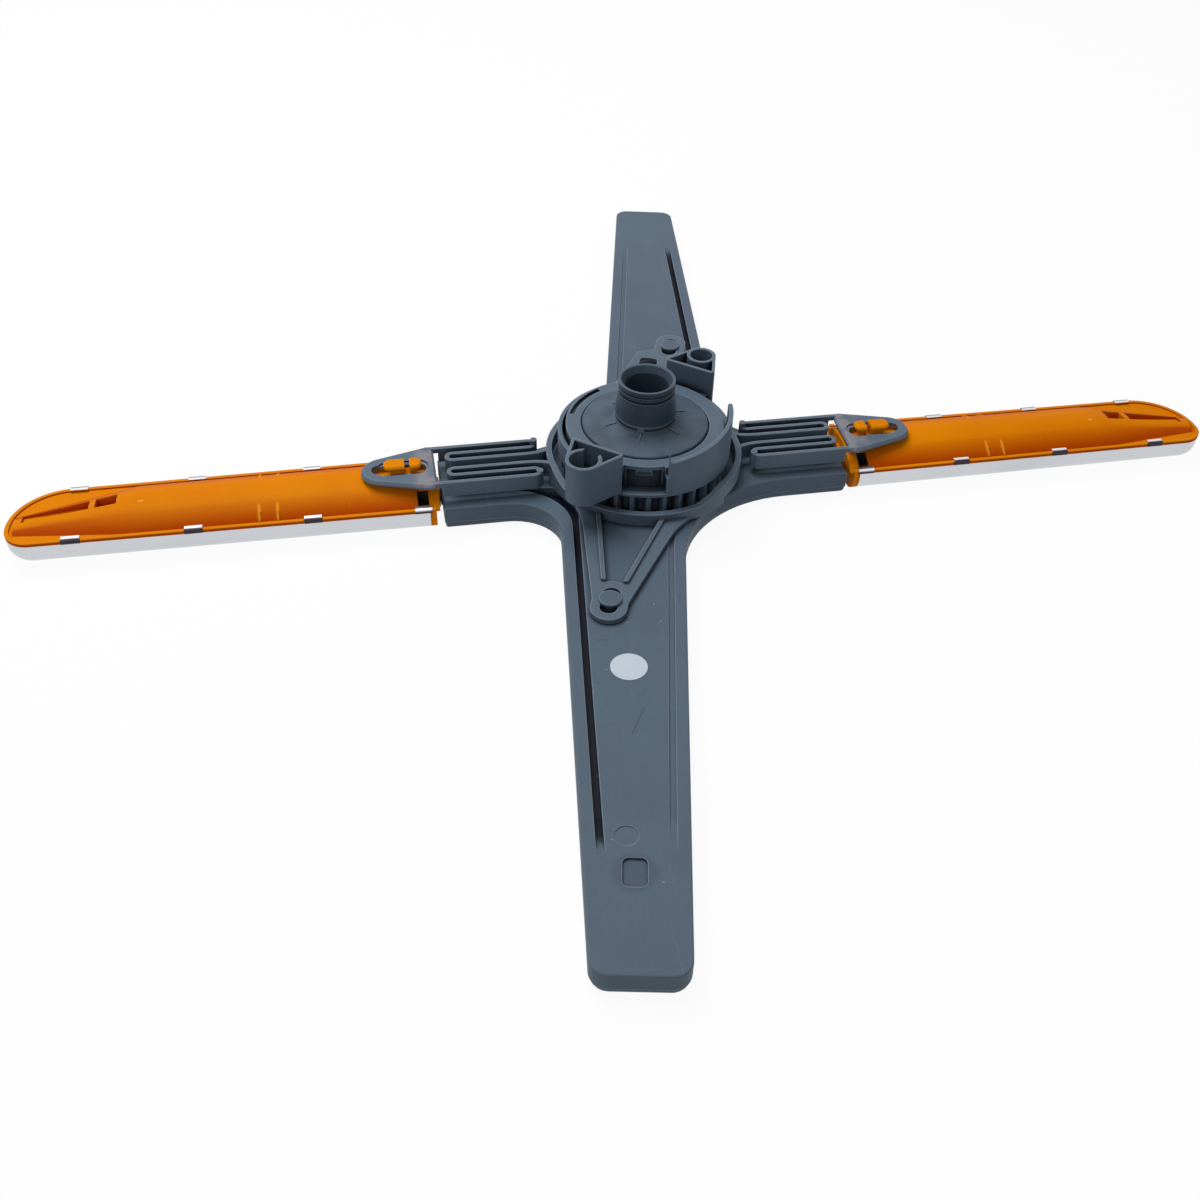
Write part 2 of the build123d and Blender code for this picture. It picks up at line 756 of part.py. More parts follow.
def link_ring():
    """Ring round the teeth, full height beside the springs and dipped in front, where it reaches the deck."""
    outside = ring_radius + ring_wall
    ring = raised(Circle(outside) - Circle(ring_radius), link_bottom, link_top)
    front = -90 - slide_angle
    dip_angle = degrees(acos(ring_dip_start / outside))
    skirt = ring_sector(ring_radius, outside, front - dip_angle, front + dip_angle)
    ring += raised(skirt, leg_bottom, link_bottom)
    over = link_top + link_thickness
    side = [
        (ring_dip_start, link_top),
        (ring_dip_end, ring_front_top),
        (front_guide_radius, ring_front_top),
        (front_guide_radius, over),
        (ring_dip_start, over),
    ]
    frame = Plane(origin=(0, 0, 0), x_dir=(-slide_sin, -slide_cos, 0), z_dir=(-slide_cos, slide_sin, 0))
    return ring - extrude(frame * plan_face(side), outside, both=True)


def rear_plate():
    """Solid plate from the ring to the rear guide slot, over the eccentric gear, with the pin's window."""
    root = ring_along(rear_plate_half)
    shoulder = rear_guide_radius - slot_half_length + guide_boss_wall
    corners = []
    for side, order in ((-1, 1), (1, -1)):
        edge = [
            slide_point(root, side * rear_plate_half, 1),
            slide_point(shoulder - guide_boss_wall, side * rear_plate_end_half, 1),
            slide_point(shoulder, side * guide_boss_radius, 1),
        ]
        corners += edge[::order]
    plate = raised(plan_face(corners), link_bottom, link_plate_top)
    turn = Rot(0, 0, 90 - slide_angle)
    yoke = Pos(*slide_point(gear_distance, 0, 1), 0) * turn
    yoke_face = yoke * RectangleRounded(2 * yoke_half_along, 2 * yoke_half_across, eccentric_pin_radius)
    plate -= raised(yoke_face, link_bottom, link_plate_top)
    window_along = shoulder - guide_boss_wall - rear_window_length
    window = Pos(*slide_point(window_along, rear_window_width, 1), 0) * turn
    window_face = window * RectangleRounded(rear_window_length, rear_window_width, rear_window_width / 4)
    return plate - raised(window_face, link_bottom, link_plate_top)


def spring_path(side):
    """Centre line of one serpentine spring arm of the right link, from the ring to the end plate's corner."""
    outer_y, middle_y, inner_y = (side * y for y in spring_strands)
    ring_x = ring_radius + ring_wall
    bend = (outer_y - middle_y) / 2
    turn_out = (middle_y - inner_y) / 2
    root = (ring_x - ring_wall / 2, side * spring_root)
    splay = ((1, -side * spring_splay), (1, 0))
    flare = Spline(root, (ring_x + spring_flare, inner_y), tangents=splay)
    far_x = spring_outer_x - abs(turn_out)
    near_x = spring_inner_x + abs(bend)
    lead = Line(flare @ 1, (far_x, inner_y))
    far = ThreePointArc(lead @ 1, (spring_outer_x, inner_y + turn_out), (far_x, middle_y))
    back = Line(far @ 1, (near_x, middle_y))
    near = ThreePointArc(back @ 1, (spring_inner_x, middle_y + bend), (near_x, outer_y))
    out = Line(near @ 1, (end_plate_corner_x, outer_y))
    return flare + lead + far + back + near + out


def end_plate():
    """Rounded plate of the right link, dished round the oval hole for the side arm's peg."""
    tip = Pos(end_plate_tip_x - end_plate_tip_radius, 0) * Circle(end_plate_tip_radius)
    corner = Circle(end_plate_corner_radius)
    corners = [Pos(end_plate_corner_x, k * end_plate_corner_y) * corner for k in (-1, 1)]
    plan = make_hull(tip.edges() + corners[0].edges() + corners[1].edges())
    plate = raised(plan, link_top - end_plate_thickness, link_top)
    top_edges = plate.faces().sort_by(Axis.Z)[-1].edges().filter_by(GeomType.LINE)
    plate = chamfer(top_edges.filter_by(Axis.Y, reverse=True), end_plate_chamfer)
    dish_length = peg_head_length + 2 * (sway + dish_room)
    dish = RectangleRounded(dish_length, 2 * (peg_head_half + dish_room), dish_corner_radius)
    plate -= raised(Pos(peg_x, 0) * dish, dish_floor, link_top)
    hole_start = peg_x - peg_neck_length / 2 - sway - hole_half_width
    hole_end = peg_x + peg_neck_length / 2 + sway + hole_half_width + peg_hole_outer_room
    hole = Pos((hole_start + hole_end) / 2, 0) * SlotOverall(hole_end - hole_start, 2 * hole_half_width)
    return plate - raised(hole, link_top - end_plate_thickness, link_top)


def build_link():
    """One springy moulding: ring, front legs, rear plate, serpentine arms and the two end plates."""
    link = front_legs() + rear_plate()
    link -= raised(Circle(ring_radius), leg_bottom, link_top)
    link += link_ring()
    for end, radius, bottom, top in guides:
        slot = guide_plan(end, radius, 0)
        link += raised(guide_plan(end, radius, guide_boss_wall) - slot, bottom, top)
        link -= raised(slot, bottom, top + leg_rib_height)
    toe_start = hood_start - sway - 2 * slide_gap
    toe_plan = Pos(toe_start + side_gap, 0) * Rectangle(2 * side_gap, 2 * side_half_width)
    toe_room = raised(toe_plan, link_bottom, link_top - end_plate_thickness - slide_gap)
    knob_y = (spring_strands[0] + spring_strands[1]) / 2
    for turn in (0, 180):
        for side in (-1, 1):
            strand = raised(trace(spring_path(side), spring_wall), link_bottom, link_top)
            link += Rot(0, 0, turn) * (strand - toe_room)
        link += Rot(0, 0, turn) * end_plate()
    for x in (-spring_inner_x, spring_inner_x):
        for side, rise in ((1, far_knob_rise), (-1, near_knob_rise)):
            link += Pos(x, side * knob_y, 0) * raised(Circle(knob_radius), link_bottom, link_top + rise)
    return link


def side_edge(x):
    """Half width of a side arm at a distance from the hub."""
    return side_half_width + (side_tip_half_width - side_half_width) * (x - side_root) / side_length


def side_plan(inset, root=side_root):
    """Plan of a side arm: slightly tapered, with a tip that is rounder on its far side."""
    tip = side_tip - inset
    root_half = side_edge(root) - inset
    tip_half = side_edge(tip) - inset
    face = plan_face([(root, -root_half), (tip, -tip_half), (tip, tip_half), (root, root_half)])
    near = face.vertices().sort_by_distance((tip, -tip_half, 0))[0]
    face = fillet([near], near_tip_radius - inset)
    far = face.vertices().sort_by_distance((tip, tip_half, 0))[0]
    return fillet([far], min(far_tip_radius, 2 * side_tip_half_width - near_tip_radius - tip_flat) - inset)


def side_bowl(inset, bottom, top, root):
    """Solid that fills a side arm's rounded underside, drawn in by an inset and open at its root."""
    solid = raised(side_plan(inset, root), bottom, top)
    floor = solid.faces().sort_by(Axis.Z)[0]
    rounded = floor.edges().sort_by(Axis.X)[1:]
    return fillet(rounded, cover_round - inset)


def nozzle_spots(stations):
    """Places of a side arm's nozzles, alternating either side of its middle."""
    return [(side_root + x, side_half_width / 4 * (-1) ** index) for index, x in enumerate(stations)]


def build_side_cover():
    """Folded sheet-steel cover of the right side arm, with tabs bent over the duct's rim."""
    start = side_root + flange_thickness
    cover = side_bowl(0, cover_bottom, rim_bottom, start)
    cover -= side_bowl(cover_thickness, cover_bottom + cover_thickness, rim_bottom, start - flange_thickness)
    for x, y in nozzle_spots(side_nozzle_stations):
        cover -= Pos(x, y, 0) * raised(Circle(side_nozzle_radius + seat_gap), 0, hinge_height)
    fold_top = bead_top + cover_thickness
    upright = Box(tab_length, cover_thickness, fold_top - rim_bottom)
    lip = Box(tab_length, tab_lip, cover_thickness)
    for x in tab_spots:
        for side in (-1, 1):
            upright_y = side * (side_edge(x) - cover_thickness / 2)
            cover += Pos(x, upright_y, (rim_bottom + fold_top) / 2) * upright
            lip_y = side * (side_edge(x) - tab_lip / 2)
            cover += Pos(x, lip_y, bead_top + cover_thickness / 2) * lip
    return cover


def build_nozzle_tray():
    """Moulded tray inside the steel cover, with nozzle bosses that show through the cover's holes."""
    start = side_root + flange_thickness
    outer = cover_thickness + seat_gap
    inner = outer + tray_wall
    floor = cover_bottom + inner
    tray = side_bowl(outer, cover_bottom + outer, rim_bottom, start)
    tray -= side_bowl(inner, floor, rim_bottom, start - flange_thickness)
    for x, y in nozzle_spots(side_nozzle_stations):
        tray += Pos(x, y, 0) * raised(Circle(side_nozzle_radius), cover_bottom, floor)
        slot = Rot(0, 0, side_nozzle_lean) * SlotOverall(side_nozzle_slot_length, side_nozzle_slot_width)
        tray -= Pos(x, y, 0) * raised(slot, cover_bottom, floor)
    return tray


def duct_section(x, near, far, rise):
    """Arched section of the duct at a distance along the arm, between its near foot and its far foot."""
    arch = ThreePointArc((near, rim_bottom), ((near + far) / 2, rim_bottom + rise), (far, rim_bottom))
    return Plane.YZ.offset(x) * make_face(arch + Line(arch @ 1, arch @ 0))


def duct_half(x):
    """Half width of the duct's arch at a distance along the arm."""
    return side_edge(x) - duct_edge_inset


def duct_body(start, end, inset):
    """The duct's low arch between two distances along the arm, or its hollow, drawn in by an inset."""
    rise = duct_top - rim_bottom - inset
    halves = [(x, duct_half(x) - inset) for x in (start, end)]
    return loft([duct_section(x, -half, half, rise) for x, half in halves], ruled=True)


def duct_nose():
    """Solid nose that runs down from the arch to the tip, with two pockets sunk along its ridge."""
    half = duct_half(nose_start)
    nose = loft([
        duct_section(nose_start, -half, half, duct_top - rim_bottom),
        duct_section(nose_end, nose_near, nose_far, nose_rise + rim_top - rim_bottom),
    ], ruled=True)
    for start, end in pocket_spans:
        corners = []
        for share, edge in ((start, pocket_near), (end, pocket_near), (end, pocket_far), (start, pocket_far)):
            corners.append((nose_start + share * nose_length, edge[0] + share * (edge[1] - edge[0])))
        nose -= raised(plan_face(corners), rim_top + pocket_floor, duct_top)
    return nose


def flank_stiffener(x):
    """Thin rib lying on the duct's far flank beside the rim."""
    rise = duct_top - rim_bottom
    half = duct_half(x)
    radius = (half**2 + rise**2) / (2 * rise)
    y = side_edge(x) - stiffener_inset
    fall = (radius**2 - y**2) ** 0.5
    rib = Box(stiffener_thickness, stiffener_length, stiffener_height)
    return Pos(x, y, duct_top - radius + fall) * Rot(-degrees(atan(y / fall)), 0, 0) * rib


def build_side_duct():
    """Orange moulding of the right side arm: rim, duct, root flange, bearing collar and peg."""
    flange_end = side_root + flange_thickness
    duct = raised(side_plan(0), rim_bottom, rim_top)
    duct += raised(side_plan(0) - side_plan(bead_width), rim_top, bead_top)
    duct += duct_body(hood_start, nose_start, 0) + duct_nose()
    flange_slab = Box(flange_thickness, 4 * side_half_width, 4 * rim_top)
    flange = side_bowl(0, cover_bottom, rim_top, side_root)
    duct += flange & (Pos(side_root + flange_thickness / 2, 0, 0) * flange_slab)
    collar_start = stub_reach + journal_flange_thickness + slide_gap
    duct += lying_cylinder(hinge_collar_radius, collar_start, flange_end)
    for index in (-1, 1):
        rib = flank_stiffener(side_root + stiffener_station + index * stiffener_pitch / 2)
        duct += rib + mirror(rib, about=Plane.XZ)
    duct -= duct_body(flange_end, nose_start - duct_wall, duct_wall)
    for side in (-1, 1):
        slot_y = side * (root_slot_inner + root_slot_outer) / 2
        slot = Box(root_slot_length, root_slot_outer - root_slot_inner, 4 * rim_top)
        duct -= Pos(flange_end + root_slot_length / 2, slot_y, rim_top) * slot
        for x in tab_spots:
            notch = Box(tab_length + 2 * tab_notch_gap, 2 * cover_thickness, 4 * rim_top)
            duct -= Pos(x, side * side_edge(x), rim_top) * notch
    duct -= lying_cylinder(journal_radius + run_gap, collar_start, flange_end)
    return duct + build_peg()


def build_peg():
    """Slit peg on the duct's crest, with a head that holds the link's end plate."""
    head_bottom = dish_floor + peg_tilt_room
    head_top = head_bottom + peg_head_height
    neck = raised(Rectangle(peg_neck_length, 2 * peg_neck_half), duct_top - duct_wall, head_bottom)
    head_plan = RectangleRounded(peg_head_length, 2 * peg_head_half, peg_head_corner)
    head = raised(head_plan, head_bottom, head_top)
    head = chamfer(head.faces().sort_by(Axis.Z)[-1].edges(), peg_head_chamfer)
    slit_plan = Pos(peg_slit_offset, 0) * Rectangle(peg_slit, 4 * peg_head_half)
    slit = raised(slit_plan, link_top - end_plate_thickness, head_top)
    return Pos(peg_x, 0, 0) * (neck + head - slit)


def build_connector():
    """Hollow journal pressed into the right stub; the side arm rocks on it and water passes through it."""
    nose = side_root + flange_thickness + journal_nose
    lip_start = side_root + flange_thickness + slide_gap
    journal = lying_cylinder(journal_radius, stub_reach - journal_tail, nose)
    journal += lying_cylinder(journal_flange_radius, stub_reach, stub_reach + journal_flange_thickness)
    journal += lying_cylinder(journal_radius + journal_lip, lip_start, lip_start + 2 * journal_lip)
    journal -= lying_cylinder(journal_radius - journal_wall, stub_reach - journal_tail, nose)
    return journal


nodes = {
    "spray_housing": build_spray_housing(),
    "lower_housing": build_lower_housing(),
    "arm_holder": build_arm_holder(),
    "fixed_gear": build_fixed_gear(),
    "eccentric_gear": build_eccentric_gear(),
    "link_member": build_link(),
}
right_pieces = {
    "connector": build_connector(),
    "arm_duct": build_side_duct(),
    "nozzle_tray": build_nozzle_tray(),
    "steel_cover": build_side_cover(),
}
for name, shape in right_pieces.items():
    nodes["right_" + name] = shape
    nodes["left_" + name] = mirror(shape, about=Plane.YZ)

os.makedirs("parts", exist_ok=True)
for name, shape in nodes.items():
    export_step(shape, "parts/" + name + ".step")
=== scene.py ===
import bmesh
import bpy
from math import cos, pi, radians, sin
from mathutils import Matrix, Vector


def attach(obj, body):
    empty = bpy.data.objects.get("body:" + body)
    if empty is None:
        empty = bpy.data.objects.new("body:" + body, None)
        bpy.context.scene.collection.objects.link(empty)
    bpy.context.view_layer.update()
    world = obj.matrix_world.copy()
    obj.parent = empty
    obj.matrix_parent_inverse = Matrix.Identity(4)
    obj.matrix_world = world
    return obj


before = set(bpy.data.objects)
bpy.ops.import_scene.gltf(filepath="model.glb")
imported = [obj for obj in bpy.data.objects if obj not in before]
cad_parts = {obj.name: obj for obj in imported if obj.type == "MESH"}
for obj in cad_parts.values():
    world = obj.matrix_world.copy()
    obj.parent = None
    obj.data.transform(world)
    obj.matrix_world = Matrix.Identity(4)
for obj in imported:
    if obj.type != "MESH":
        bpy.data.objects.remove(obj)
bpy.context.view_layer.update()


# Spray housing and lower housing: the two hot-plate welded shells of the cross, injection moulded in
# dark blue-grey polypropylene. The moulding has a fine spark-eroded grain and faint flow clouds, painted
# shade darkens the border groove and the deck round the pieces, and handling has left hairline scuffs
# and a few scratches on the deck.

mm = 0.001


class Wire:
    """A socket in a node tree; sums and products of wires add their own Math nodes."""

    def __init__(self, tree, socket=None):
        self.tree = tree
        self.socket = socket

    def node(self, kind, settings, values, output=0):
        """Add one node with its settings and inputs, and hand back one of its outputs."""
        made = self.tree.nodes.new(kind)
        for name, value in settings.items():
            setattr(made, name, value)
        for key, value in values.items():
            if isinstance(value, Wire):
                self.tree.links.new(value.socket, made.inputs[key])
            else:
                made.inputs[key].default_value = value
        return Wire(self.tree, made.outputs[output])

    def maths(self, operation, *values):
        """Add one Math node."""
        return self.node("ShaderNodeMath", {"operation": operation}, dict(enumerate(values)))

    def __add__(self, other):
        return self.maths("ADD", self, other)

    __radd__ = __add__

    def __sub__(self, other):
        return self.maths("SUBTRACT", self, other)

    def __rsub__(self, other):
        return self.maths("SUBTRACT", other, self)

    def __mul__(self, other):
        return self.maths("MULTIPLY", self, other)

    __rmul__ = __mul__

    def size(self):
        """The value without its sign."""
        return self.maths("ABSOLUTE", self)

    def along(self, axis):
        """One coordinate of a place."""
        return self.node("ShaderNodeSeparateXYZ", {}, {"Vector": self}, axis)

    def held(self, low, high):
        """The value between two limits, as 0 to 1 with a smooth start and end."""
        ends = {"Value": self, "From Min": low, "From Max": high}
        return self.node("ShaderNodeMapRange", {"interpolation_type": "SMOOTHSTEP"}, ends)

    def noise(self, scale, detail=2.0):
        """Clouds of a given count per metre at a place."""
        return self.node("ShaderNodeTexNoise", {}, {"Vector": self, "Scale": scale, "Detail": detail})

    def stretched(self, turn, scale):
        """A place turned about the vertical and scaled along its own axes, for streaks."""
        values = {"Vector": self, "Rotation": (0, 0, turn), "Scale": scale}
        return self.node("ShaderNodeMapping", {"vector_type": "POINT"}, values)

    def blend(self, share, first, second):
        """A colour between two colours."""
        return self.node("ShaderNodeMix", {"data_type": "RGBA"}, {0: share, 6: first, 7: second}, 2)

    def scratch(self, start, end, width):
        """Where a straight scratch between two plan points crosses a place, as 0 to 1."""
        run = Vector(end) - Vector(start)
        way = run.normalized()
        x = self.along("X") - start[0]
        y = self.along("Y") - start[1]
        beside = (x * way.y - y * way.x).size()
        beyond = (x * way.x + y * way.y - run.length / 2).size()
        return (1 - beside.held(width / 2, width)) * (1 - beyond.held(run.length / 3, run.length / 2))


def new_finish(name):
    """An empty material, a loose wire in its tree, its shader and the object's own coordinates."""
    material = bpy.data.materials.new(name)
    material.use_nodes = True
    loose = Wire(material.node_tree)
    place = loose.node("ShaderNodeTexCoord", {}, {}, "Object")
    return material, loose, material.node_tree.nodes["Principled BSDF"], place


def feed(shader, values):
    """Set or link a shader's sockets."""
    for key, value in values.items():
        if isinstance(value, Wire):
            value.tree.links.new(value.socket, shader.inputs[key])
        else:
            shader.inputs[key].default_value = value


def linear(red, green, blue):
    """A colour read off as 0 to 255 screen values, as the shader's linear colour."""
    parts = [value / 255 for value in (red, green, blue)]
    return (*[p / 12.92 if p < 0.04045 else ((p + 0.055) / 1.055) ** 2.4 for p in parts], 1.0)


cloud_count = 26.0
grain_count = 1400.0
pit_count = 420.0
grain_depth = 0.2 * mm
scuff_stretch = (900.0, 22.0, 300.0)
edge_rounding = 0.75 * mm
shade_reach = 5.0 * mm


def moulded_plastic(name, light, dark, shade_colour, wear_and_highlight, turn=0.0, marks=None, gloss=0.22, shade_onset=0.32):
    """Grained plastic: flow clouds from dark to light, painted shade in hollows, painted highlights on edges
    and pale scuffs.
    """
    material, loose, shader, place = new_finish(name)
    clouds = place.noise(cloud_count, 4.0)
    grain = place.noise(grain_count, 1.0)
    scuffs = place.stretched(turn, scuff_stretch).noise(1.0, 3.0).held(0.62, 0.78)
    colour = loose.blend(clouds.held(0.25, 0.75) * 0.75 + grain.held(0.3, 0.7) * 0.25, dark, light)
    for mask, paint in marks(place) if marks else ():
        colour = loose.blend(mask, colour, paint)
    soft = loose.node("ShaderNodeBevel", {"samples": 6}, {"Radius": edge_rounding})
    plain = loose.node("ShaderNodeNewGeometry", {}, {}, "Normal")
    facing = loose.node("ShaderNodeVectorMath", {"operation": "DOT_PRODUCT"}, {0: soft, 1: plain}, "Value")
    alone = {"samples": 8, "only_local": True}
    # Ambient occlusion blends hollows and creases towards the shade colour: painted shade.
    sky = loose.node("ShaderNodeAmbientOcclusion", alone, {"Distance": shade_reach}, "AO")
    hollow_shade = 1 - sky.held(shade_onset, shade_onset + 0.5)
    # Edges are painted paler where the bevel normal turns away: a painted highlight. The scuffs are real
    # wear.
    edge_highlight = (1 - facing).held(0.004, 0.08) * sky.held(0.55, 0.85)
    colour = loose.blend(scuffs * 0.12 + edge_highlight * 0.7, colour, wear_and_highlight)
    colour = loose.blend(hollow_shade * 0.9, colour, shade_colour)
    relief = grain * 0.6 + place.noise(pit_count, 2.0) * 0.6 - scuffs * 0.3
    bump = {"Strength": 0.16, "Distance": grain_depth, "Height": relief, "Normal": soft}
    feed(shader, {
        "Base Color": colour,
        "Roughness": 0.46 + clouds * 0.12 + scuffs * 0.08,
        "Normal": loose.node("ShaderNodeBump", {}, bump),
        "Specular IOR Level": gloss,
    })
    return material


def finish_nodes(names, material):
    """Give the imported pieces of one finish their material."""
    for name in names:
        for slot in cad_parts[name].material_slots:
            slot.material = material


arm_turn = radians(-11.4)
housing_light = linear(91, 108, 122)
housing_dark = linear(84, 100, 114)
# Dark grey for the deck's scratches, and for painted shade in hollows and along the pieces on the deck.
grey_scratch_and_shade = linear(22, 25, 36)
# Pale grey for scuff wear and for the painted highlight on edges.
grey_wear_and_highlight = linear(150, 164, 178)
# Dark blue for painted shade on the groove floors.
groove_shade = linear(8, 10, 38)
deck_purple = linear(86, 92, 114)
well_purple = linear(72, 78, 100)
lint_white = linear(160, 170, 180)
deck_height = 11.0 * mm
groove_floor = 9.0 * mm
groove_brim = 10.4 * mm
crowd_shade_reach = 4.0 * mm
well_place = (-43.4 * mm, -202.3 * mm)
well_radius = 8.2 * mm
stain_count = 9.0
lint_count = 85.0
deck_scratches = (
    ((-34.2 * mm, -148.7 * mm), (-26.7 * mm, -135.4 * mm), 0.36 * mm),
    ((-38.2 * mm, -100.8 * mm), (-32.2 * mm, -101.7 * mm), 0.25 * mm),
)


def deck_marks(place):
    """Painted shade in the grooves and along the pieces on the deck, scratches, a gate stain and specks of
    lint.
    """
    found = [(place.noise(stain_count, 3.0).held(0.4, 0.65) * 0.35, deck_purple)]
    found += [(place.scratch(*line) * 0.3, grey_scratch_and_shade) for line in deck_scratches]
    level = place.node("ShaderNodeTexCoord", {}, {}, "Normal").along("Z").held(0.5, 0.8)
    # The groove floors below the brim get painted shade.
    sunk_shade = 1 - place.along("Z").held(groove_floor, groove_brim)
    found.append((sunk_shade * level * 0.95, groove_shade))
    # Ambient occlusion from neighbouring pieces paints shade on the deck's level faces.
    crowd_shade = place.node("ShaderNodeAmbientOcclusion", {"samples": 8}, {"Distance": crowd_shade_reach}, "AO")
    found.append(((1 - crowd_shade.held(0.35, 0.9)) * level * 0.75, grey_scratch_and_shade))
    spot = {0: place, 1: (*well_place, deck_height)}
    away = place.node("ShaderNodeVectorMath", {"operation": "DISTANCE"}, spot, "Value")
    found.append(((1 - away.held(well_radius * 0.7, well_radius)) * 0.4, well_purple))
    cells = {"Vector": place, "Scale": lint_count}
    flat = {"voronoi_dimensions": "2D"}
    near = 1 - place.node("ShaderNodeTexVoronoi", flat, cells, "Distance").held(0.015, 0.03)
    few = place.node("ShaderNodeTexVoronoi", flat, cells, "Color").along("X").held(0.86, 0.88)
    found.append((near * few * 0.7, lint_white))
    return found


housing_plastic = moulded_plastic(
    "housing_plastic", housing_light, housing_dark, grey_scratch_and_shade, grey_wear_and_highlight, arm_turn, deck_marks, gloss=0.12
)
finish_nodes(["spray_housing", "lower_housing"], housing_plastic)


# Round label on the front arm's deck: a plain disc of white coated paper, 0.12 mm thick and stuck down
# by its own adhesive, with a slightly lifted rim.

label_centre = Vector((-28.5 * mm, -116.2 * mm, deck_height))
label_radius = 6.6 * mm
label_thickness = 0.12 * mm
label_lift = 0.5
label_rings = 4
label_sides = 48
paper_dull = linear(190, 202, 214)
paper_bright = linear(208, 218, 228)
fibre_count = 700.0
fibre_depth = 0.1 * mm

label_mesh = bpy.data.meshes.new("blank_label")
label_shape = bmesh.new()
bmesh.ops.create_circle(label_shape, cap_ends=True, cap_tris=False, segments=label_sides, radius=label_radius)
label_face = list(label_shape.faces)
for _ in range(label_rings):
    bmesh.ops.inset_region(label_shape, faces=label_face, thickness=label_radius / (label_rings + 2))
lifted = bmesh.ops.extrude_face_region(label_shape, geom=list(label_shape.faces))
for vert in (item for item in lifted["geom"] if isinstance(item, bmesh.types.BMVert)):
    rim = (vert.co.xy.length / label_radius) ** 6
    vert.co.z += label_thickness * (1 + label_lift * rim)
bmesh.ops.recalc_face_normals(label_shape, faces=list(label_shape.faces))
bmesh.ops.translate(label_shape, verts=list(label_shape.verts), vec=label_centre)
label_shape.to_mesh(label_mesh)
label_shape.free()
label = bpy.data.objects.new("blank_label", label_mesh)
bpy.context.scene.collection.objects.link(label)

label_paper, loose, shader, place = new_finish("label_paper")
fibre = place.noise(fibre_count, 4.0)
fibres = {"Strength": 0.1, "Distance": fibre_depth, "Height": fibre}
feed(shader, {
    "Base Color": loose.blend(fibre, paper_dull, paper_bright),
    "Roughness": 0.35 + fibre * 0.2,
    "Normal": loose.node("ShaderNodeBump", {}, fibres),
    "Specular IOR Level": 0.3,
})
label_mesh.materials.append(label_paper)
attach(label, "main_arm")


# Arm holder and connectors: the inlet neck with its disc and drum, and the journals of the side arms.
# They are moulded in a darker, smoother grade, because the machine's seal and the arms run on them. The
# faces that look up carry painted light broken into drops, and the collar a painted highlight.

holder_light = linear(64, 78, 93)
holder_dark = linear(56, 69, 83)
# Near black for painted shade in hollows, and a pale colour for scuffs and painted edge highlights.
holder_shade = linear(14, 17, 26)
holder_wear_and_highlight = linear(112, 126, 141)
# Pale colours for painted light on level faces and a painted highlight on the collar.
holder_top_light = linear(84, 99, 114)
holder_collar_highlight = linear(126, 141, 156)
drop_count = 120.0
collar_foot = 35.4 * mm
collar_top = 38.5 * mm
collar_fade = 0.4 * mm


def top_light_and_collar_highlight(place):
    """Painted light on level faces, broken into drops, and a painted highlight on the collar."""
    level = place.node("ShaderNodeTexCoord", {}, {}, "Normal").along("Z").held(0.6, 0.95)
    height = place.along("Z")
    above = height.held(collar_foot, collar_foot + collar_fade)
    below = 1 - height.held(collar_top, collar_top + collar_fade)
    drops = place.noise(drop_count, 3.0).held(0.2, 0.7)
    return [(level * drops * 0.8, holder_top_light), (above * below * 0.75, holder_collar_highlight)]


holder_plastic = moulded_plastic(
    "holder_plastic", holder_light, holder_dark, holder_shade, holder_wear_and_highlight, marks=top_light_and_collar_highlight, gloss=0.18
)
finish_nodes(["arm_holder", "left_connector", "right_connector"], holder_plastic)


# Fixed gear and eccentric gear: toothed ring with its skirt, crest and two socket towers, and the small
# gear that rolls on it, each moulded in one piece in the housing's grey. Painted shade darkens the inside
# of the skirt, behind its window.

gear_light = linear(92, 109, 125)
gear_dark = linear(83, 99, 115)
# Near black for painted shade in hollows and inside the skirt.
gear_shade = linear(16, 19, 28)
skirt_inner = 33.7 * mm
skirt_foot = 21.6 * mm
skirt_roof = 31.0 * mm
foot_fade = 0.8 * mm
roof_fade = 0.6 * mm
inner_fade = 0.6 * mm


def skirt_shade(place):
    """Painted shade between the skirt's foot and its roof, inside the skirt's wall."""
    x = place.along("X")
    y = place.along("Y")
    height = place.along("Z")
    inside = 1 - place.maths("SQRT", x * x + y * y).held(skirt_inner - inner_fade, skirt_inner)
    above = height.held(skirt_foot, skirt_foot + foot_fade)
    below = 1 - height.held(skirt_roof - roof_fade, skirt_roof)
    return [(inside * (above * below) * 0.65, gear_shade)]


gear_plastic = moulded_plastic(
    "gear_plastic", gear_light, gear_dark, gear_shade, grey_wear_and_highlight, marks=skirt_shade
)
finish_nodes(["fixed_gear", "eccentric_gear"], gear_plastic)


# Link member: one springy moulding in the housing's grey, with serpentine arms, which lies on the deck
# round the gear and slides on the deck's two guide pins. Its end plates are paler where the side arms'
# pegs slide in them, partly rubbed and partly a painted reflection of the orange pegs.

link_light = linear(92, 108, 123)
link_dark = linear(83, 98, 113)
# Pale pink for the end plates: partly rubbing, partly a painted reflection of the orange pegs.
link_rub_and_reflection = linear(146, 138, 144)
rub_inner = 84.0 * mm
rub_outer = 96.0 * mm
rub_inner_fade = 3.0 * mm
rub_outer_fade = 4.0 * mm
rub_height = 19.4 * mm
rub_rise = 0.3 * mm
rub_count = 160.0


def plate_rub_and_reflection(place):
    """Pale pinkish zones on the two end plates: partly rubbing, partly a painted reflection of the pegs."""
    reach = place.along("X").size()
    beyond = reach.held(rub_inner, rub_inner + rub_inner_fade)
    zone = beyond * (1 - reach.held(rub_outer - rub_outer_fade, rub_outer))
    high = place.along("Z").held(rub_height, rub_height + rub_rise)
    return [(zone * high * place.noise(rub_count, 3.0).held(0.3, 0.6) * 0.75, link_rub_and_reflection)]


